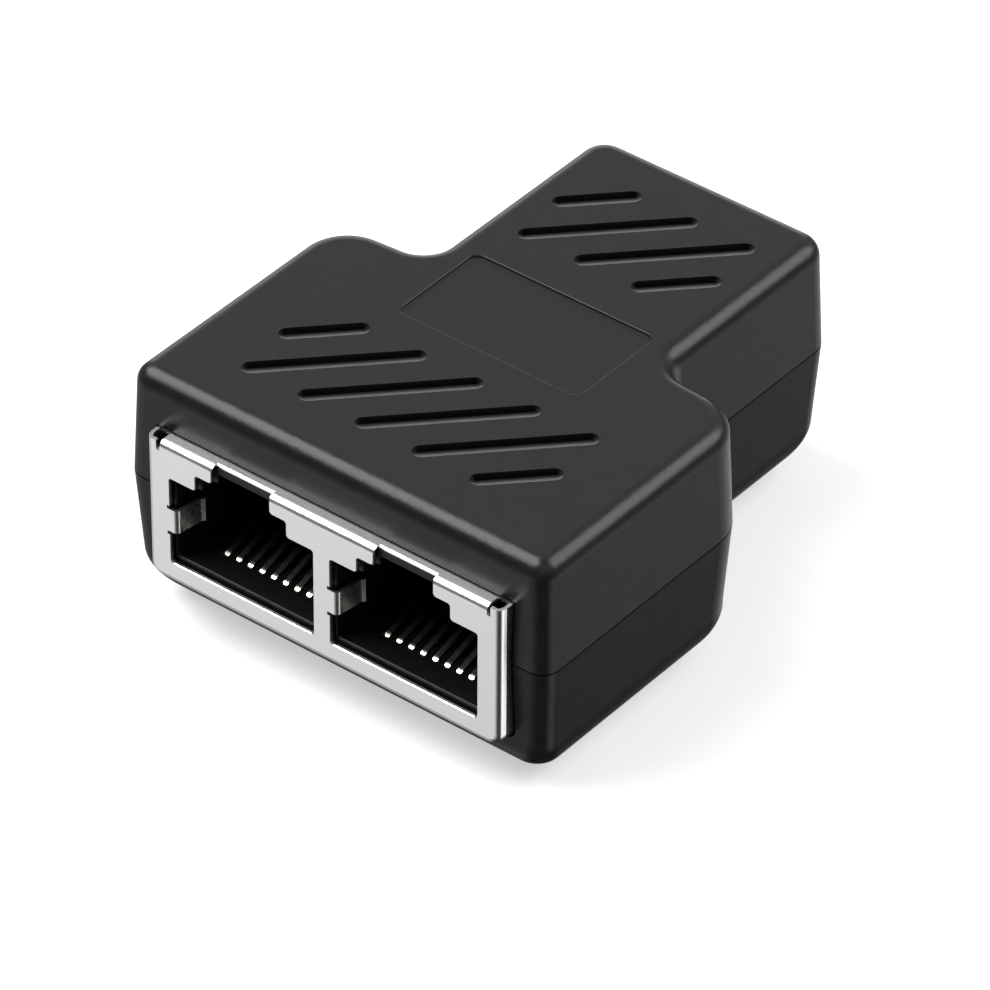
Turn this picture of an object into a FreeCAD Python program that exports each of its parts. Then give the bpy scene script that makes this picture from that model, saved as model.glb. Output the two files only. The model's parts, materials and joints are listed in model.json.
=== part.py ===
import FreeCAD, Part
import math
import os

# RJ45 splitter adapter: one case with two ports side by side in front and one behind.
# Millimetres. X runs across the two front ports, Y from the front ports to the rear
# port, Z up. The origin is on the table, under the middle of the adapter.

Vec = FreeCAD.Vector
touch = 1e-3

# Case around the ports: what it adds beside, above, below, between and behind them
wide_side_margin = 2.85
stem_side_margin = 2.1
height_above_ports = 3.8
height_below_ports = 3.85
parting_above_port_foot = 6.65
length_between_jacks = 16.0
front_proud = 1.1
rear_proud = 0.8
shoulder_behind_jack = 9.5
shoulder_slant_deg = 4.0

# Mould draft and edge radii of the case
top_draft_deg = 2.0
bottom_draft_deg = 3.2
top_edge_radius = 1.35
bottom_edge_radius = 4.0
front_corner_radius = 1.4
rear_corner_radius = 2.0
shoulder_outer_radius = 3.8
shoulder_inner_radius = 1.9
front_foot_radius = 1.9
rear_foot_radius = 2.6
shoulder_outer_foot_radius = 2.4
shoulder_inner_foot_radius = 4.0
inner_corner_radius = 0.4

# Walls and the joint between the two shells
wall = 1.6
floor_thickness = 1.6
roof_thickness = 1.6
tongue_thickness = 0.7
tongue_height = 0.8
joint_clearance = 0.1
seam_depth = 0.2
seam_height = 0.12
aperture_clearance = 0.12

# Closing posts: pegs under the roof, pressed into bosses on the floor
peg_diameter = 2.0
peg_length = 4.5
peg_clearance = 0.05
boss_diameter = 3.6
boss_bore_depth = 5.2
front_boss_side_gap = 3.8
front_boss_behind_jack = 4.7
rear_boss_side_gap = 2.5
rear_boss_behind_jack = 2.9

# Slanted grooves in the top face
groove_side_margin = 2.995
groove_reach_x = 8.7
groove_reach_y = 8.9
groove_mouth_width = 1.3
groove_mouth_depth = 0.23
groove_slot_width = 0.45
groove_slot_end_margin = 0.25
groove_far_lean = 0.03
groove_depth = 0.8
wide_groove_count = 6
wide_grooves_from_front = 9.2
stem_groove_count = 4
stem_grooves_from_rear = 9.1

# Shallow label recess in the top face, left bare
label_width = 15.4
label_length = 8.5
label_depth = 0.15
label_corner_radius = 0.75
label_rim_radius = 0.1
label_rear_past_shoulder = 2.4

# Sheet-metal shields
sheet = 0.25
bend_radius = 0.5
port_web = 1.5
port_margin = 2.0
plate_above_opening = 1.45
shield_depth = 14.0
side_lead_in = 0.16
side_lead_depth = 0.6
foot_round = 1.0
corner_relief = 1.2
relief_depth = 1.25
relief_slit = 0.3
notch_lip_bevel = 0.12
leg_length_y = 1.0
front_leg_from_face = 4.6
rear_leg_from_back = 3.6
leg_below_board = 0.6

# Stepped opening of each port, in the shield
main_width = 12.4
main_height = 7.05
key_width = 7.8
key_height = 1.3
latch_width = 4.95
opening_bottom = 1.75
opening_round = 0.25
opening_edge_bevel = 0.07
latch_cut_depth = 0.57

# Spring tab on the left side of each opening
tab_bottom = 4.35
tab_height = 1.87
tab_reach = 0.62
tab_bend = 0.3
tab_lean = 0.24
tab_length = 2.25
tab_tip = 0.35
tab_relief = 0.28

# Moulded inserts
insert_fit = 0.08
insert_recess = 0.5
insert_side_step = 0.15
insert_floor_step = 0.4
insert_latch_roof = 0.45
insert_rim_radius = 0.08
cavity_round = 0.1
insert_corner_notch = 1.5
cavity_from_back = 2.4
latch_channel_from_back = 5.6

# Contacts and the combs that carry them
contact_count = 8
contact_pitch = 1.02
contact_width = 0.4
contact_thickness = 0.3
contact_front = 2.45
contact_bend = 0.6
contact_hook_height = 1.14
contact_rise_deg = 17.5
contact_into_comb = 0.5
contact_slot_clearance = 0.05
contact_tails_from_back = (2.1, 1.3)
contact_tail_below_board = 0.55
comb_from_back = 3.2
comb_margin = 0.65
comb_fit = 0.05
guide_depth = 0.8
guide_below_contact = 0.3
guide_above_contact = 0.7
comb_above_guide = 0.35

# Circuit board
board_thickness = 1.2
board_setback = 2.1
board_hole_diameter = 0.8
board_leg_clearance = 0.15
board_boss_clearance = 0.15
board_step_behind_jack = 2.1
board_corner_radius = 0.5
board_neck_radius = 1.0

# Ribs
rib_thickness = 1.0
rib_short_of_shield = 2.1
front_rib_from_face = 5.0
rear_rib_from_back = 3.5
rest_beside_contacts = 0.43
rest_from_face = 4.4
rest_short_of_back = 0.6

# Places worked out from the sizes above
port_pitch = main_width + port_web
front_shield_width = port_pitch + main_width + 2 * port_margin
rear_shield_width = main_width + 2 * port_margin
case_width = front_shield_width + 2 * wide_side_margin
stem_width = rear_shield_width + 2 * stem_side_margin
shield_bottom = height_below_ports
shield_height = opening_bottom + main_height + key_height + plate_above_opening
shield_top = shield_bottom + shield_height
case_height = shield_top + height_above_ports
parting_height = shield_bottom + parting_above_port_foot
roof_height = case_height - roof_thickness
total_length = 2 * shield_depth + length_between_jacks - (front_proud - rear_proud)
case_length = total_length - front_proud - rear_proud
front_face_y = -total_length / 2
rear_face_y = total_length / 2
case_front_y = front_face_y + front_proud
case_rear_y = rear_face_y - rear_proud
front_jack_back_y = front_face_y + shield_depth
rear_jack_back_y = rear_face_y - shield_depth
shoulder_y = front_jack_back_y + shoulder_behind_jack
groove_pitch = (stem_width - 2 * groove_side_margin) / (stem_groove_count - 1)
opening_floor = shield_bottom + opening_bottom
cavity_floor = opening_floor + insert_floor_step
cavity_depth = shield_depth - cavity_from_back
latch_channel_depth = shield_depth - latch_channel_from_back
comb_front = shield_depth - comb_from_back
contact_end = comb_front + contact_into_comb
contact_tail_places = [shield_depth - place for place in contact_tails_from_back]
contact_run_height = cavity_floor - contact_thickness / 2 - 2 * contact_bend
contact_nose = contact_front + contact_thickness / 2
contact_row = (contact_count - 1) / 2 * contact_pitch + contact_width / 2
comb_half = contact_row + comb_margin
leg_places = (front_leg_from_face, shield_depth - rear_leg_from_back)
rib_places = (front_rib_from_face, shield_depth - rear_rib_from_back)
board_top = shield_bottom
board_bottom = board_top - board_thickness
front_boss_x = case_width / 2 - boss_diameter / 2 - front_boss_side_gap
front_boss_y = front_jack_back_y + front_boss_behind_jack
rear_boss_x = stem_width / 2 - boss_diameter / 2 - rear_boss_side_gap
rear_boss_y = rear_jack_back_y - rear_boss_behind_jack
boss_places = [
    (-front_boss_x, front_boss_y),
    (front_boss_x, front_boss_y),
    (-rear_boss_x, rear_boss_y),
    (rear_boss_x, rear_boss_y),
]


def rounded_wire(corners, radii, to_point):
    """Closed wire of straight runs and tangent arcs through flat corners (u, v)."""
    edges = []
    count = len(corners)
    ends = []
    for i in range(count):
        before, here, after = corners[i - 1], corners[i], corners[(i + 1) % count]
        u_in = (before[0] - here[0], before[1] - here[1])
        u_out = (after[0] - here[0], after[1] - here[1])
        len_in, len_out = math.hypot(*u_in), math.hypot(*u_out)
        u_in = (u_in[0] / len_in, u_in[1] / len_in)
        u_out = (u_out[0] / len_out, u_out[1] / len_out)
        radius = radii[i]
        if radius <= 0:
            ends.append((here, None, here))
            continue
        angle = math.acos(max(-1.0, min(1.0, u_in[0] * u_out[0] + u_in[1] * u_out[1])))
        back = radius / math.tan(angle / 2)
        start = (here[0] + u_in[0] * back, here[1] + u_in[1] * back)
        stop = (here[0] + u_out[0] * back, here[1] + u_out[1] * back)
        middle = (u_in[0] + u_out[0], u_in[1] + u_out[1])
        length = math.hypot(*middle)
        near = radius / math.sin(angle / 2) - radius
        mid = (here[0] + middle[0] / length * near, here[1] + middle[1] / length * near)
        ends.append((start, mid, stop))
    for i in range(count):
        start, mid, stop = ends[i]
        if mid is not None:
            edges.append(Part.Arc(to_point(start), to_point(mid), to_point(stop)).toShape())
        following = ends[(i + 1) % count][0]
        if math.hypot(following[0] - stop[0], following[1] - stop[1]) > 1e-6:
            edges.append(Part.LineSegment(to_point(stop), to_point(following)).toShape())
    return Part.Wire(edges)


def bent_strip(path, radius, thickness, to_point):
    """Outline of a strip of even thickness that follows a path with rounded bends."""
    half = thickness / 2
    left, right, left_radii, right_radii = [], [], [], []
    last = len(path) - 1
    for i, here in enumerate(path):
        runs = []
        for a, b in ((i - 1, i), (i, i + 1)):
            if a >= 0 and b <= last:
                dx, dy = path[b][0] - path[a][0], path[b][1] - path[a][1]
                length = math.hypot(dx, dy)
                runs.append((dx / length, dy / length))
        if len(runs) == 1:
            normal = (-runs[0][1], runs[0][0])
            reach, turn = half, 0.0
        else:
            normal = (-runs[0][1] - runs[1][1], runs[0][0] + runs[1][0])
            length = math.hypot(*normal)
            normal = (normal[0] / length, normal[1] / length)
            reach = half / (-normal[0] * runs[0][1] + normal[1] * runs[0][0])
            turn = runs[0][0] * runs[1][1] - runs[0][1] * runs[1][0]
        left.append((here[0] + normal[0] * reach, here[1] + normal[1] * reach))
        right.append((here[0] - normal[0] * reach, here[1] - normal[1] * reach))
        bend = 0.0 if turn == 0.0 else radius
        left_radii.append(max(bend - half, 0.02) if turn > 0 else (bend + half if turn < 0 else 0))
        right_radii.append(max(bend - half, 0.02) if turn < 0 else (bend + half if turn > 0 else 0))
    corners = left + right[::-1]
    radii = left_radii + right_radii[::-1]
    return Part.Face(rounded_wire(corners, radii, to_point))


def block(x0, x1, y0, y1, z0, z1):
    return Part.makeBox(x1 - x0, y1 - y0, z1 - z0, Vec(x0, y0, z0))


def fuse_all(first, others):
    return first.fuse(others).removeSplitter() if others else first


def cut_all(shape, tools):
    return shape.cut(tools) if tools else shape


def fillet_where(shape, radius, wanted):
    """Round every edge whose middle point and box pass the test."""
    edges = [edge for edge in shape.Edges if wanted(edge)]
    return shape.makeFillet(radius, edges) if edges else shape


def blend(near, far, share):
    return near + (far - near) * share


def case_plan(inset, z, foot_share=0.0, inner=False):
    """Plan outline of the case, moved inwards by an inset, as a wire at height z."""
    half = case_width / 2 - inset
    stem = stem_width / 2 - inset
    front = case_front_y + inset
    rear = case_rear_y - inset
    slant = math.radians(shoulder_slant_deg)
    base_x = case_width / 2 - math.sin(slant) * inset
    base_y = shoulder_y - math.cos(slant) * inset
    outer_y = base_y + (base_x - half) * math.tan(slant)
    inner_y = base_y + (base_x - stem) * math.tan(slant)
    corners = [
        (-half, front), (half, front), (half, outer_y), (stem, inner_y),
        (stem, rear), (-stem, rear), (-stem, inner_y), (-half, outer_y),
    ]
    inner_r = shoulder_inner_radius + inset
    if inner:
        front_r = max(front_corner_radius - inset, inner_corner_radius)
        outer_r = max(shoulder_outer_radius - inset, inner_corner_radius)
        rear_r = max(rear_corner_radius - inset, inner_corner_radius)
    else:
        front_r = blend(front_corner_radius, front_foot_radius, foot_share)
        outer_r = blend(shoulder_outer_radius, shoulder_outer_foot_radius, foot_share)
        rear_r = blend(rear_corner_radius, rear_foot_radius, foot_share)
        inner_r = blend(inner_r, shoulder_inner_foot_radius, foot_share)
    radii = [front_r, front_r, outer_r, inner_r, rear_r, rear_r, inner_r, outer_r]
    return rounded_wire(corners, radii, lambda p: Vec(p[0], p[1], z))


def loft(wires, ruled):
    return Part.makeLoft(wires, True, ruled)


def top_body():
    """Drafted upper block with its rounded top edge."""
    lean = (case_height - parting_height) * math.tan(math.radians(top_draft_deg))
    body = loft([case_plan(0, parting_height), case_plan(lean, case_height)], True)
    limit = case_height - touch
    return fillet_where(body, top_edge_radius, lambda e: e.BoundBox.ZMin > limit)


def bottom_body():
    """Drafted lower block that rounds over into the flat underside."""
    rise = parting_height - bottom_edge_radius
    lean = rise * math.tan(math.radians(bottom_draft_deg))
    straight = loft([case_plan(lean, bottom_edge_radius), case_plan(0, parting_height)], True)
    steps = 6
    sections = []
    for i in range(steps + 1):
        turn = math.radians(90.0 * i / steps)
        inset = lean + bottom_edge_radius * (1 - math.cos(turn))
        height = bottom_edge_radius * (1 - math.sin(turn))
        sections.append(case_plan(inset, height, foot_share=i / steps))
    return straight.fuse(loft(sections, False))


def aperture(shield_width, y0, y1):
    """Room in the end wall for a shield, with its clearance."""
    gap = aperture_clearance
    half = shield_width / 2 + gap
    room = block(-half, half, y0, y1, shield_bottom - gap, shield_top + gap)
    foot = shield_bottom + foot_round
    along_y = lambda e: e.BoundBox.YLength > 0.5 * (y1 - y0) and e.BoundBox.ZMax < foot
    return fillet_where(room, foot_round, along_y)


def both_apertures():
    """Front and rear apertures, from outside the case to inside its cavity."""
    front = aperture(front_shield_width, front_face_y, case_front_y + 2 * wall)
    rear = aperture(rear_shield_width, case_rear_y - 2 * wall, rear_face_y)
    return [front, rear]


def groove(centre_x, centre_y, start_share, end_share):
    """One slanted groove between two shares of its full reach: a sloping mouth and a slot."""
    reach = math.hypot(groove_reach_x, groove_reach_y)
    ux, uy = groove_reach_x / reach, groove_reach_y / reach

    def outline(margin, near, far, z):
        half, middle = (far - near) / 2, (far + near) / 2
        low, high = start_share * reach + margin, end_share * reach - margin

        def at(along, across):
            return Vec(centre_x + ux * along - uy * across, centre_y + uy * along + ux * across, z)

        return Part.Wire([
            Part.LineSegment(at(low + half, near), at(high - half, near)).toShape(),
            Part.Arc(at(high - half, near), at(high, middle), at(high - half, far)).toShape(),
            Part.LineSegment(at(high - half, far), at(low + half, far)).toShape(),
            Part.Arc(at(low + half, far), at(low, middle), at(low + half, near)).toShape(),
        ])

    mouth_half = groove_mouth_width / 2
    slot_far = mouth_half - groove_far_lean
    mouth = outline(0.0, -mouth_half, mouth_half, case_height)
    slot = outline(groove_slot_end_margin, slot_far - groove_slot_width, slot_far,
                   case_height - groove_mouth_depth)
    below = Part.Face(slot).extrude(Vec(0, 0, groove_mouth_depth - groove_depth))
    return loft([mouth, slot], True).fuse(below)


def groove_field(count, centre_y):
    """A slanted band of grooves; the first and the last have half the length."""
    grooves = []
    for i in range(count):
        centre_x = (i - (count - 1) / 2) * groove_pitch
        start = 0.0 if i == 0 else -0.5
        end = 0.0 if i == count - 1 else 0.5
        grooves.append(groove(centre_x, centre_y, start, end))
    return grooves


def label_recess():
    """Body cut away for the label."""
    rear = shoulder_y + label_rear_past_shoulder
    half = label_width / 2
    corners = [(-half, rear - label_length), (half, rear - label_length), (half, rear), (-half, rear)]
    z = case_height - label_depth
    outline = rounded_wire(corners, [label_corner_radius] * 4, lambda p: Vec(p[0], p[1], z))
    return Part.Face(outline).extrude(Vec(0, 0, 2 * label_depth))


def ring(outer_inset, inner_inset, z0, z1):
    """Upright band between two plan outlines."""
    outer = Part.Face(case_plan(outer_inset, z0, inner=True)).extrude(Vec(0, 0, z1 - z0))
    inner = Part.Face(case_plan(inner_inset, z0, inner=True)).extrude(Vec(0, 0, z1 - z0))
    return outer.cut(inner)


def seam():
    """Fine open line round the outside where the two shells meet."""
    half = seam_height / 2
    return ring(-seam_depth, seam_depth, parting_height - half, parting_height + half)


def hold_down_ribs():
    """Ribs under the roof that keep the shields down on the board."""
    half_t = rib_thickness / 2
    ribs = []
    top = case_height - roof_thickness / 2
    for place in rib_places:
        front = front_face_y + place
        rear = rear_face_y - place
        for y, width in ((front, front_shield_width), (rear, rear_shield_width)):
            half = width / 2 - rib_short_of_shield
            ribs.append(block(-half, half, y - half_t, y + half_t, shield_top, top))
    return ribs


def make_top_shell():
    lean = (roof_height - parting_height) * math.tan(math.radians(top_draft_deg))
    room = loft([case_plan(wall, parting_height, inner=True),
                 case_plan(wall + lean, roof_height, inner=True)], True)
    rebate = ring(wall - tongue_thickness - joint_clearance, wall + 2 * joint_clearance,
                  parting_height, parting_height + tongue_height + joint_clearance)
    shell = top_body()
    shell = cut_all(shell, [room, rebate, seam()] + both_apertures())
    posts = []
    post_height = case_height - roof_thickness / 2 - parting_height
    for x, y in boss_places:
        posts.append(Part.makeCylinder(boss_diameter / 2, post_height, Vec(x, y, parting_height)))
        posts.append(Part.makeCylinder(peg_diameter / 2, peg_length + wall,
                                       Vec(x, y, parting_height - peg_length)))
    shell = fuse_all(shell, posts + hold_down_ribs())
    grooves = groove_field(wide_groove_count, case_front_y + wide_grooves_from_front)
    grooves += groove_field(stem_groove_count, case_rear_y - stem_grooves_from_rear)
    shell = cut_all(shell, grooves)
    rims = rim_edges(shell)
    return round_new_rims(shell.cut(label_recess()), rims, label_rim_radius)


def rim_edges(shell):
    """Middle points of the edges that lie in the top face."""
    limit = case_height - touch
    edges = [edge for edge in shell.Edges if edge.BoundBox.ZMin > limit]
    return [edge.valueAt((edge.FirstParameter + edge.LastParameter) / 2) for edge in edges]


def round_new_rims(shell, old, radius):
    """Round the edges in the top face that were not there before a cut."""
    limit = case_height - touch
    fresh = []
    for edge in shell.Edges:
        middle = edge.valueAt((edge.FirstParameter + edge.LastParameter) / 2)
        known = any(middle.distanceToPoint(point) < touch for point in old)
        if edge.BoundBox.ZMin > limit and not known:
            fresh.append(edge)
    return shell.makeFillet(radius, fresh)


def board_rests():
    """Low ribs on the floor that carry the circuit board."""
    half_t = rib_thickness / 2
    sunk = floor_thickness / 2
    rests = []
    inner = contact_row + rest_beside_contacts + half_t
    outer = port_pitch / 2 + inner
    length = shield_depth - rest_from_face - rest_short_of_back
    front = front_face_y + rest_from_face
    rear = rear_jack_back_y + rest_short_of_back
    for y, places in ((front, (-outer, 0.0, outer)), (rear, (-inner, inner))):
        for x in places:
            rests.append(block(x - half_t, x + half_t, y, y + length, sunk, board_bottom))
    return rests


def make_bottom_shell():
    rise = parting_height - bottom_edge_radius
    lean = rise * math.tan(math.radians(bottom_draft_deg))
    room = loft([case_plan(wall + lean, floor_thickness, inner=True),
                 case_plan(wall, parting_height, inner=True)], True)
    tongue = ring(wall - tongue_thickness, wall,
                  parting_height - tongue_height, parting_height + tongue_height)
    shell = bottom_body().cut(room)
    shell = fuse_all(shell, [tongue])
    shell = cut_all(shell, [seam()] + both_apertures())
    bosses, bores = [], []
    for x, y in boss_places:
        bosses.append(Part.makeCylinder(boss_diameter / 2, parting_height - floor_thickness / 2,
                                        Vec(x, y, floor_thickness / 2)))
        bores.append(Part.makeCylinder(peg_diameter / 2 + peg_clearance, boss_bore_depth,
                                       Vec(x, y, parting_height - boss_bore_depth)))
    shell = fuse_all(shell, bosses + board_rests())
    return cut_all(shell, bores)


def port_profile(centre_x, grow, floor, latch_top, y, radius):
    """Stepped outline of a port, grown outwards all round, facing along Y."""
    main = main_width / 2 + grow
    key = key_width / 2 + grow
    latch = latch_width / 2 + grow
    main_top = opening_floor + main_height + grow
    key_top = main_top + key_height
    corners = [
        (-main, floor), (main, floor), (main, main_top), (key, main_top),
        (key, key_top), (latch, key_top), (latch, latch_top), (-latch, latch_top),
        (-latch, key_top), (-key, key_top), (-key, main_top), (-main, main_top),
    ]
    radii = 6 * [radius] + [0, 0] + 4 * [radius]
    return rounded_wire(corners, radii, lambda p: Vec(centre_x + p[0], y, p[1]))


def spring_tab(centre_x):
    """Tab folded back from the left side of an opening, leaning into the port."""
    edge = -main_width / 2
    middle = sheet / 2
    turn = edge + tab_reach - middle
    path = [
        (edge - sheet, middle),
        (turn, middle),
        (turn + tab_lean, tab_length),
        (turn + tab_lean + tab_tip * 0.7, tab_length + tab_tip * 0.7),
    ]
    z = shield_bottom + tab_bottom
    face = bent_strip(path, tab_bend, sheet, lambda p: Vec(centre_x + p[0], p[1], z))
    return face.extrude(Vec(0, 0, tab_height))


def tab_reliefs(centre_x):
    """Small cuts above and below a spring tab, in the edge of the opening."""
    edge = centre_x - main_width / 2
    low = shield_bottom + tab_bottom
    cuts = []
    for z in (low - tab_relief, low + tab_height):
        cuts.append(block(edge - tab_relief, edge + tab_relief, -sheet, 2 * sheet, z, z + tab_relief))
    return cuts


def shield_solid(width, inset, roof):
    """Solid inside the faces of a folded sheet: a short lead-in, then straight sides."""
    half = width / 2 - inset
    low, high = shield_bottom + inset, roof
    foot = foot_round - inset
    sections = []
    places = ((half - side_lead_in, inset), (half, side_lead_depth), (half, shield_depth - inset))
    for across, y in places:
        corners = [(-across, low), (across, low), (across, high), (-across, high)]
        sections.append(rounded_wire(corners, [foot, foot, 0, 0], lambda p: Vec(p[0], y, p[1])))
    return loft(sections[:2], True).fuse(loft(sections[1:], True)).removeSplitter()


def front_edges(with_top):
    """Test for the edges round the face of a shield, with or without the top one."""
    high = shield_top - touch
    return lambda e: e.BoundBox.YMax < touch and (with_top or e.BoundBox.ZMin < high)


def opening_bevel(centre_x):
    """Ring that bevels the front edge of an opening."""
    size = opening_edge_bevel
    high = shield_top + sheet
    wide = port_profile(centre_x, size, opening_floor - size, high, 0, opening_round)
    narrow = port_profile(centre_x, 0, opening_floor, high, size, opening_round)
    return loft([wide, narrow], True)


def notch_bevel(centre_x):
    """Wedge that bevels the top edge of the fold above a latch notch."""
    size = notch_lip_bevel
    y, z = latch_cut_depth, shield_top
    corners = [(y - size, z - size), (y + size, z + size), (y - size, z + size)]
    wedge = Part.Face(rounded_wire(corners, [0, 0, 0], lambda p: Vec(centre_x - latch_width / 2, *p)))
    wedge.translate(Vec(0, size / 2, -size / 2))
    return wedge.extrude(Vec(latch_width, 0, 0))


def make_shield(width, port_centres):
    """Folded shield with its face at y = 0 and its depth along +Y."""
    half = width / 2
    top = shield_top
    outer = shield_solid(width, 0, top)
    folded = fillet_where(outer, bend_radius, front_edges(True))
    folded = folded.cut(shield_solid(width, sheet, top - sheet))
    walls = fillet_where(outer, bend_radius, front_edges(False))
    walls = walls.cut(shield_solid(width, sheet, top + sheet))
    low = top - sheet - bend_radius
    windows, wings, legs = [], [], []
    for sign in (-1, 1):
        inner = half - corner_relief
        lo, hi = sorted((sign * inner, sign * (half + sheet)))
        windows.append(block(lo, hi, -sheet, relief_depth, low, top + sheet))
        lo, hi = sorted((sign * (inner + relief_slit), sign * (half + sheet)))
        wings.append(walls.common(block(lo, hi, -sheet, relief_depth, low, top + sheet)))
        lo, hi = sorted((sign * (half - sheet), sign * half))
        for place in leg_places:
            legs.append(block(lo, hi, place - leg_length_y / 2, place + leg_length_y / 2,
                              board_bottom - leg_below_board, shield_bottom + 2 * foot_round))
    under = block(-half + foot_round, half - foot_round, sheet, shield_depth - sheet,
                  shield_bottom - sheet, shield_bottom + foot_round)
    shell = fuse_all(cut_all(folded, windows + [under]), wings + legs)
    openings = []
    for x in port_centres:
        profile = Part.Face(port_profile(x, 0, opening_floor, top + sheet, -sheet, opening_round))
        openings.append(profile.extrude(Vec(0, sheet + latch_cut_depth, 0)))
        openings.append(opening_bevel(x))
        openings += tab_reliefs(x) + [notch_bevel(x)]
    shell = cut_all(shell, openings)
    return fuse_all(shell, [spring_tab(x) for x in port_centres])


def contact_x(centre_x, index):
    return centre_x + (index - (contact_count - 1) / 2) * contact_pitch


def contact_height(place):
    """Height of the middle of a contact's sloping end at a place behind the face."""
    rise = math.tan(math.radians(contact_rise_deg))
    return contact_run_height + contact_hook_height + (place - contact_nose) * rise


def make_insert(width, port_centres):
    """Moulded body with its jack cavities, standing on the board inside its shield."""
    within = sheet + insert_fit
    half = width / 2 - within
    rear = shield_depth - within
    top = shield_top - within
    low = shield_bottom + within
    body = block(-half, half, insert_recess, rear, low, top)
    along_y = lambda e: e.BoundBox.YLength > rear / 2 and e.BoundBox.ZMax < low + touch
    body = fillet_where(body, foot_round - within, along_y)
    foot = width / 2 - foot_round - insert_fit
    body = fuse_all(body, [block(-foot, foot, insert_recess, rear, shield_bottom, low + within)])
    latch_top = top - insert_latch_roof
    key_top = opening_floor + main_height - insert_side_step + key_height
    cavities, slots = [], []
    slot = contact_width + 2 * contact_slot_clearance
    slot_floor = contact_run_height - contact_thickness / 2 - contact_slot_clearance
    reach = comb_half + comb_fit
    for x in port_centres:
        outline = Part.Face(port_profile(x, -insert_side_step, cavity_floor, latch_top, 0, cavity_round))
        channel = outline.extrude(Vec(0, latch_channel_depth, 0))
        cavity = outline.extrude(Vec(0, cavity_depth, 0))
        above = block(x - main_width, x + main_width, latch_channel_depth, shield_depth,
                      key_top, shield_top)
        cavities += [channel, cavity.cut(above)]
        slots.append(block(x - reach, x + reach, comb_front - comb_fit, shield_depth,
                           shield_bottom - sheet, comb_top() + comb_fit))
        for i in range(contact_count):
            cx = contact_x(x, i)
            slots.append(block(cx - slot / 2, cx + slot / 2, contact_front - contact_slot_clearance,
                               comb_front, slot_floor, cavity_floor + sheet))
    for sign in (-1, 1):
        lo, hi = sorted((sign * (half - insert_corner_notch), sign * (half + sheet)))
        slots.append(block(lo, hi, 0, insert_corner_notch, top - insert_corner_notch, shield_top))
    body = cut_all(body, cavities)
    rim = lambda e: (e.BoundBox.YMax < insert_recess + touch and e.BoundBox.ZMax < cavity_floor + touch
                     and e.BoundBox.ZMin > cavity_floor - touch)
    body = fillet_where(body, insert_rim_radius, rim)
    return cut_all(body, slots)


def contact_path(index):
    """Side view of a contact, from its tail in the board to its free upper end."""
    tail = contact_tail_places[index % 2]
    return [
        (tail, board_bottom - contact_tail_below_board),
        (tail, contact_run_height),
        (contact_nose, contact_run_height),
        (contact_nose, contact_height(contact_nose)),
        (contact_end, contact_height(contact_end)),
    ]


def make_contact(centre_x, index):
    x = contact_x(centre_x, index) - contact_width / 2
    face = bent_strip(contact_path(index), contact_bend, contact_thickness, lambda p: Vec(x, p[0], p[1]))
    return face.extrude(Vec(contact_width, 0, 0))


def guide_low():
    return contact_height(comb_front) - contact_thickness / 2 - guide_below_contact


def guide_high():
    return contact_height(contact_end) + contact_thickness / 2 + guide_above_contact


def comb_top():
    return guide_high() + comb_above_guide


def make_comb(centre_x):
    """Carrier behind a cavity: channels hold the contacts, guides take their free ends."""
    rear = shield_depth - sheet - insert_fit - comb_fit
    body = block(centre_x - comb_half, centre_x + comb_half, comb_front, rear, shield_bottom, comb_top())
    slot = contact_width / 2 + contact_slot_clearance
    channel_top = contact_run_height + contact_thickness / 2 + contact_slot_clearance
    cuts = []
    for i in range(contact_count):
        x = contact_x(centre_x, i)
        tail = contact_tail_places[i % 2] + contact_thickness / 2 + contact_slot_clearance
        front = comb_front - sheet
        cuts.append(block(x - slot, x + slot, front, tail, shield_bottom - sheet, channel_top))
        cuts.append(block(x - slot, x + slot, front, comb_front + guide_depth, guide_low(), guide_high()))
    return cut_all(body, cuts)


def make_board():
    """Board with a wide front part under the two jacks and a neck to the rear jack."""
    half = front_shield_width / 2 + board_leg_clearance
    neck = rear_shield_width / 2
    front = case_front_y + board_setback
    rear = case_rear_y - board_setback
    step = front_jack_back_y + board_step_behind_jack
    corners = [
        (-half, front), (half, front), (half, step), (neck, step),
        (neck, rear), (-neck, rear), (-neck, step), (-half, step),
    ]
    round_out, round_in = board_corner_radius, board_neck_radius
    radii = [round_out, round_out, round_out, round_in, round_out, round_out, round_in, round_out]
    board = Part.Face(rounded_wire(corners, radii, lambda p: Vec(p[0], p[1], board_bottom)))
    board = board.extrude(Vec(0, 0, board_thickness))
    cuts = []
    for x, y in boss_places[2:]:
        cuts.append(Part.makeCylinder(boss_diameter / 2 + board_boss_clearance, 2 * board_thickness,
                                      Vec(x, y, board_bottom - board_thickness / 2)))
    gap = board_leg_clearance
    for ports, place in ((front_ports, place_front), (rear_ports, place_rear)):
        drills = []
        for x in ports:
            for i in range(contact_count):
                drills.append(Part.makeCylinder(board_hole_diameter / 2, 2 * board_thickness,
                                                Vec(contact_x(x, i), contact_tail_places[i % 2],
                                                    board_bottom - board_thickness / 2)))
        width = front_shield_width if len(ports) == 2 else rear_shield_width
        for sign in (-1, 1):
            for leg in leg_places:
                lo, hi = sorted((sign * (width / 2 - sheet - gap), sign * (width / 2 + 2 * gap)))
                drills.append(block(lo, hi, leg - leg_length_y / 2 - gap, leg + leg_length_y / 2 + gap,
                                    board_bottom - board_thickness, board_top + board_thickness))
        cuts += [place(drill) for drill in drills]
    return cut_all(board, cuts)


def place_front(shape):
    moved = shape.copy()
    moved.translate(Vec(0, front_face_y, 0))
    return moved


def place_rear(shape):
    moved = shape.copy()
    moved.rotate(Vec(0, 0, 0), Vec(0, 0, 1), 180)
    moved.translate(Vec(0, rear_face_y, 0))
    return moved


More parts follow.
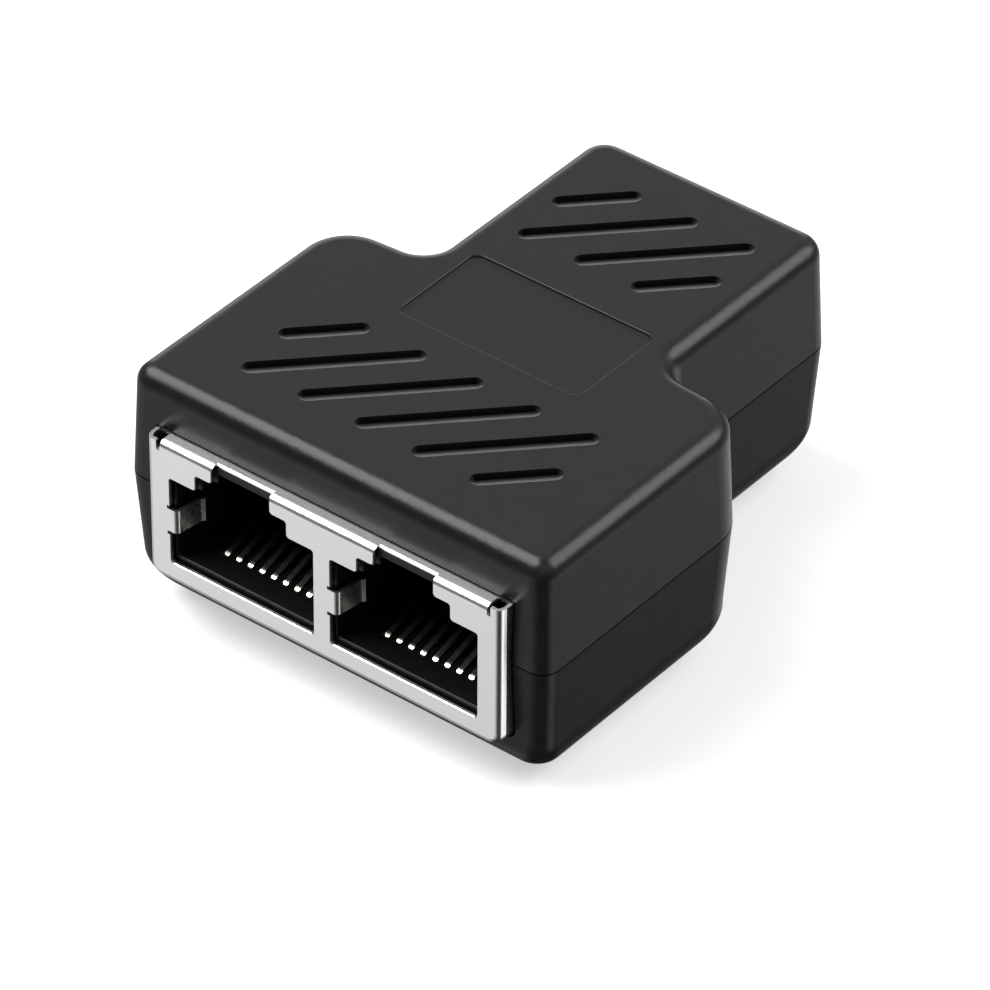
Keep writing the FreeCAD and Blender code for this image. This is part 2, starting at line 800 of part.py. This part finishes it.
def save(shape, node):
    """Write one node; a cut that leaves a compound of one solid is unpacked first."""
    solids = shape.Solids
    whole = solids[0] if len(solids) == 1 else Part.makeCompound(solids)
    whole.exportStep(os.path.join("parts", node + ".step"))
    print(node, "solids", len(solids), "valid", whole.isValid(), "volume", round(whole.Volume, 2))


front_ports = (-port_pitch / 2, port_pitch / 2)
rear_ports = (0.0,)

os.makedirs("parts", exist_ok=True)
save(make_top_shell(), "top_shell")
save(make_bottom_shell(), "bottom_shell")
save(make_board(), "circuit_board")
save(place_front(make_shield(front_shield_width, front_ports)), "front_shield")
save(place_rear(make_shield(rear_shield_width, rear_ports)), "rear_shield")
save(place_front(make_insert(front_shield_width, front_ports)), "front_insert")
save(place_rear(make_insert(rear_shield_width, rear_ports)), "rear_insert")
for letter, centre, place in (("a", front_ports[0], place_front), ("b", front_ports[1], place_front),
                              ("c", rear_ports[0], place_rear)):
    save(place(make_comb(centre)), "comb_" + letter)
    for i in range(contact_count):
        save(place(make_contact(centre, i)), "contact_%s%d" % (letter, i + 1))
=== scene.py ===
import json
import math

import bpy
from mathutils import Matrix, Vector

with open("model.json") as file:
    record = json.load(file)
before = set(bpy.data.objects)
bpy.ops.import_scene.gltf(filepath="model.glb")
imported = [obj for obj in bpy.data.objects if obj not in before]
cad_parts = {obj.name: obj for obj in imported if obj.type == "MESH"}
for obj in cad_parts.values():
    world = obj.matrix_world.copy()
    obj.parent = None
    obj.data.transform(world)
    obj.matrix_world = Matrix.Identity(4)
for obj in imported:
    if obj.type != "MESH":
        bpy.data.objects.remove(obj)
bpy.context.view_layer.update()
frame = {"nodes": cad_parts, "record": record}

# Camera, from edges, grooves and outline of the photograph (metres, row frame)
CAMERA_PLACE = (0.246142, -0.314598, 0.313967)
CAMERA_RIGHT = (0.782013, 0.623245, 0.004735)
CAMERA_DOWN = (0.384632, -0.476609, -0.790507)
CAMERA_FORWARD = (-0.490422, 0.620008, -0.612435)
CAMERA_CLIP = (0.01, 20.0)
FOCAL_PX = 7390.24
PHOTO_PX = 990
SENSOR_MM = 36.0

# Light tent: brightness against height, 0 straight down, 0.5 at the horizon, 1 straight up
TENT_LEVELS = ((0.0, 0.02), (0.09, 0.05), (0.15, 0.35), (0.20, 0.90), (0.27, 0.92), (0.40, 0.40),
               (0.50, 0.20), (0.60, 0.27), (0.76, 0.72), (0.82, 0.76), (0.92, 0.60), (1.0, 0.4))
# Where the tent is changed: direction, cosines where the change starts and is full, level there
TENT_PATCHES = (
    ((0.62, -0.49, -0.61), (0.50, 0.95), 0.03),  # seen in the front right corner of the case
    ((-0.45, -0.75, 0.48), (0.55, 0.92), 0.10),  # seen under the highlight of the front top edge
    ((0.36, 0.45, -0.82), (0.92, 0.98), 0.0),    # seen in the right side of the lower shell
    ((-0.72, -0.05, -0.70), (0.88, 0.98), 0.45),  # seen in the front left corner of the case
    ((0.80, 0.10, -0.60), (0.93, 0.985), 1.25),  # seen in the side fold of the front shield
)

# Area lights that face the part: direction, distance, width, height, radiance
LIGHT_TARGET = Vector((0.0, 0.0, 0.010))
LIGHTS = {
    "key": ((-0.49, -0.275, 0.825), 1.2, 1.0, 0.74, 9.8),
    "rim": ((0.50, 0.62, 0.60), 1.2, 0.8, 0.8, 5.5),
    "low_back": ((-0.64, 0.767, 0.10), 1.2, 0.8, 0.32, 2.6),
}

# Floor, just under the part so that the two faces don't meet
FLOOR_SIZE = 6.0
FLOOR_DROP = 0.00002
FLOOR_GLOW = 0.5

# Share of a noise that its full change is stretched over
NOISE_LOW = 0.3
NOISE_HIGH = 0.7

# Finishes. A noise is (cells per metre, detail), a relief is (noise, strength, depth in metres).
# Colour runs from dark to light over the mottle, roughness between its two values over the gloss.
FINISHES = {
    # Black moulding with a fine spark-eroded grain
    "case_plastic": dict(
        dark=(0.0064, 0.0064, 0.0066), light=(0.0080, 0.0080, 0.0082), mottle=(900.0, 3.0), ior=1.34,
        roughness=(0.29, 0.35), gloss=(2600.0, 2.0), relief=((9000.0, 2.0), 0.12, 0.00003)),
    # Smoother black moulding of the jacks
    "insert_plastic": dict(
        dark=(0.0025, 0.0025, 0.0025), light=(0.004, 0.004, 0.004), mottle=(1200.0, 2.0), ior=1.4,
        roughness=(0.4, 0.4), relief=((6000.0, 2.0), 0.1, 0.00002)),
    # Nickel-plated sheet with faint rolling lines
    "nickel_sheet": dict(
        dark=(0.95, 0.95, 0.945), light=(0.97, 0.97, 0.965), mottle=(700.0, 3.0), metallic=1.0,
        roughness=(0.27, 0.30), gloss=(4500.0, 2.0), relief=((4500.0, 2.0), 0.005, 0.000005),
        stretch=(0.12, 1.0, 1.0)),
    # Bright plated spring wire
    "contact_metal": dict(
        dark=(0.85, 0.8, 0.68), light=(0.9, 0.88, 0.8), mottle=(2000.0, 2.0), metallic=1.0,
        roughness=(0.17, 0.23), gloss=(5000.0, 2.0)),
    # Green board with a faint weave under its lacquer
    "board_lacquer": dict(
        dark=(0.015, 0.10, 0.04), light=(0.025, 0.15, 0.06), mottle=(1500.0, 3.0),
        roughness=(0.35, 0.35), relief=((3000.0, 2.0), 0.1, 0.00002)),
    # Pale paper of the floor
    "floor_paper": dict(
        dark=(0.495, 0.495, 0.495), light=(0.51, 0.51, 0.51), mottle=(40.0, 2.0), ior=1.2,
        roughness=(0.8, 0.8), glow=FLOOR_GLOW),
}
SLOT_FINISH = {
    "case": "case_plastic",
    "shield": "nickel_sheet",
    "insert": "insert_plastic",
    "comb": "insert_plastic",
    "contact": "contact_metal",
    "board": "board_lacquer",
}


class Nodes:
    """Short hand for building one node tree."""

    def __init__(self, tree):
        self.tree = tree
        self.tree.nodes.clear()

    def add(self, kind, **values):
        """New node. A value sets the node's own property of that name, or else the input."""
        node = self.tree.nodes.new(kind)
        inputs = {}
        for key, value in values.items():
            if hasattr(node, key) and not isinstance(value, bpy.types.NodeSocket):
                setattr(node, key, value)
            else:
                inputs[key.replace("_", " ")] = value
        for name, value in inputs.items():
            self.put(node.inputs[name], value)
        return node

    def put(self, socket, value):
        if isinstance(value, bpy.types.NodeSocket):
            self.tree.links.new(value, socket)
        else:
            socket.default_value = value


def make_camera():
    data = bpy.data.cameras.new("camera")
    data.sensor_fit = "HORIZONTAL"
    data.sensor_width = SENSOR_MM
    data.lens = FOCAL_PX / PHOTO_PX * SENSOR_MM
    data.clip_start, data.clip_end = CAMERA_CLIP
    camera = bpy.data.objects.new("camera", data)
    bpy.context.scene.collection.objects.link(camera)
    right, down, forward = Vector(CAMERA_RIGHT), Vector(CAMERA_DOWN), Vector(CAMERA_FORWARD)
    axes = Matrix((right, -down, -forward)).transposed().to_4x4()
    camera.matrix_world = Matrix.Translation(Vector(CAMERA_PLACE)) @ axes
    bpy.context.scene.camera = camera


def grey(level):
    return (level, level, level, 1.0)


def patch(n, directions, level, direction, cosines, changed):
    """Level of the tent, mixed over to another one round a direction."""
    toward = n.add("ShaderNodeVectorMath", operation="DOT_PRODUCT")
    n.put(toward.inputs[0], directions)
    n.put(toward.inputs[1], Vector(direction).normalized())
    start, full = cosines
    share = n.add("ShaderNodeMapRange", interpolation_type="SMOOTHSTEP", Value=toward.outputs["Value"],
                  From_Min=start, From_Max=full, To_Min=0.0, To_Max=1.0)
    mix = n.add("ShaderNodeMix", data_type="FLOAT")
    n.put(mix.inputs[0], share.outputs["Result"])
    n.put(mix.inputs[2], level)
    n.put(mix.inputs[3], changed)
    return mix.outputs[0]


def make_world():
    """Light tent, with the patches that the photographed surfaces mirror."""
    world = bpy.data.worlds.new("studio")
    bpy.context.scene.world = world
    world.use_nodes = True
    n = Nodes(world.node_tree)
    directions = n.add("ShaderNodeTexCoord").outputs["Generated"]
    split = n.add("ShaderNodeSeparateXYZ", Vector=directions)
    height = n.add("ShaderNodeMapRange", Value=split.outputs["Z"], From_Min=-1.0, From_Max=1.0)
    tent = n.add("ShaderNodeValToRGB", Fac=height.outputs["Result"])
    points = tent.color_ramp.elements
    points[0].color = grey(TENT_LEVELS[0][1])
    points[1].color = grey(TENT_LEVELS[-1][1])
    for place, brightness in TENT_LEVELS[1:-1]:
        points.new(place).color = grey(brightness)
    level = tent.outputs["Color"]
    for direction, cosines, changed in TENT_PATCHES:
        level = patch(n, directions, level, direction, cosines, changed)
    background = n.add("ShaderNodeBackground", Strength=level, Color=grey(1.0))
    n.add("ShaderNodeOutputWorld", Surface=background.outputs[0])


def make_lights():
    for name, (direction, distance, width, height, radiance) in LIGHTS.items():
        data = bpy.data.lights.new(name, "AREA")
        data.shape = "RECTANGLE"
        data.size = width
        data.size_y = height
        data.energy = radiance * math.pi * width * height
        light = bpy.data.objects.new(name, data)
        bpy.context.scene.collection.objects.link(light)
        light.location = LIGHT_TARGET + Vector(direction).normalized() * distance
        light.rotation_euler = Vector(direction).to_track_quat("Z", "Y").to_euler()


def noise(n, cells, detail, stretch=None):
    """Noise in object space."""
    vector = n.add("ShaderNodeTexCoord").outputs["Object"]
    if stretch:
        vector = n.add("ShaderNodeMapping", Vector=vector, Scale=stretch).outputs[0]
    return n.add("ShaderNodeTexNoise", Vector=vector, Scale=cells, Detail=detail).outputs["Fac"]


def make_finish(name, dark, light, mottle, roughness, metallic=0.0, ior=1.5, gloss=None, relief=None,
                stretch=None, glow=0.0):
    """Material whose colour, gloss and relief change with noise."""
    material = bpy.data.materials.new(name)
    material.use_nodes = True
    n = Nodes(material.node_tree)
    ramp = n.add("ShaderNodeValToRGB", Fac=noise(n, *mottle))
    ends = zip(ramp.color_ramp.elements, (NOISE_LOW, NOISE_HIGH), (dark, light))
    for element, position, colour in ends:
        element.position = position
        element.color = (*colour, 1.0)
    shader = n.add("ShaderNodeBsdfPrincipled", Base_Color=ramp.outputs["Color"], Metallic=metallic, IOR=ior,
                   Roughness=roughness[0], Emission_Color=grey(1.0), Emission_Strength=glow)
    if gloss:
        value = n.add("ShaderNodeMapRange", Value=noise(n, *gloss, stretch), From_Min=NOISE_LOW,
                      From_Max=NOISE_HIGH, To_Min=roughness[0], To_Max=roughness[1])
        n.put(shader.inputs["Roughness"], value.outputs[0])
    if relief:
        pattern, strength, depth = relief
        bump = n.add("ShaderNodeBump", Height=noise(n, *pattern, stretch), Strength=strength, Distance=depth)
        n.put(shader.inputs["Normal"], bump.outputs[0])
    n.add("ShaderNodeOutputMaterial", Surface=shader.outputs[0])
    return material


def make_floor(material):
    mesh = bpy.data.meshes.new("floor")
    half = FLOOR_SIZE / 2
    corners = [(-half, -half, 0), (half, -half, 0), (half, half, 0), (-half, half, 0)]
    mesh.from_pydata(corners, [], [(0, 1, 2, 3)])
    floor = bpy.data.objects.new("floor", mesh)
    bpy.context.scene.collection.objects.link(floor)
    mesh.materials.append(material)
    floor.location.z = -FLOOR_DROP
    floor.visible_glossy = False


def dress_nodes(finishes):
    """Give every carried-over node its finished material."""
    slots = {row["node"]: row["material_slot"] for row in frame["record"]["subparts"]}
    for name, node in frame["nodes"].items():
        node.data.materials.clear()
        node.data.materials.append(finishes[SLOT_FINISH[slots[name]]])


made = {name: make_finish(name, **values) for name, values in FINISHES.items()}
make_camera()
make_world()
make_lights()
make_floor(made["floor_paper"])
dress_nodes(made)
bpy.context.scene.view_settings.view_transform = "Standard"
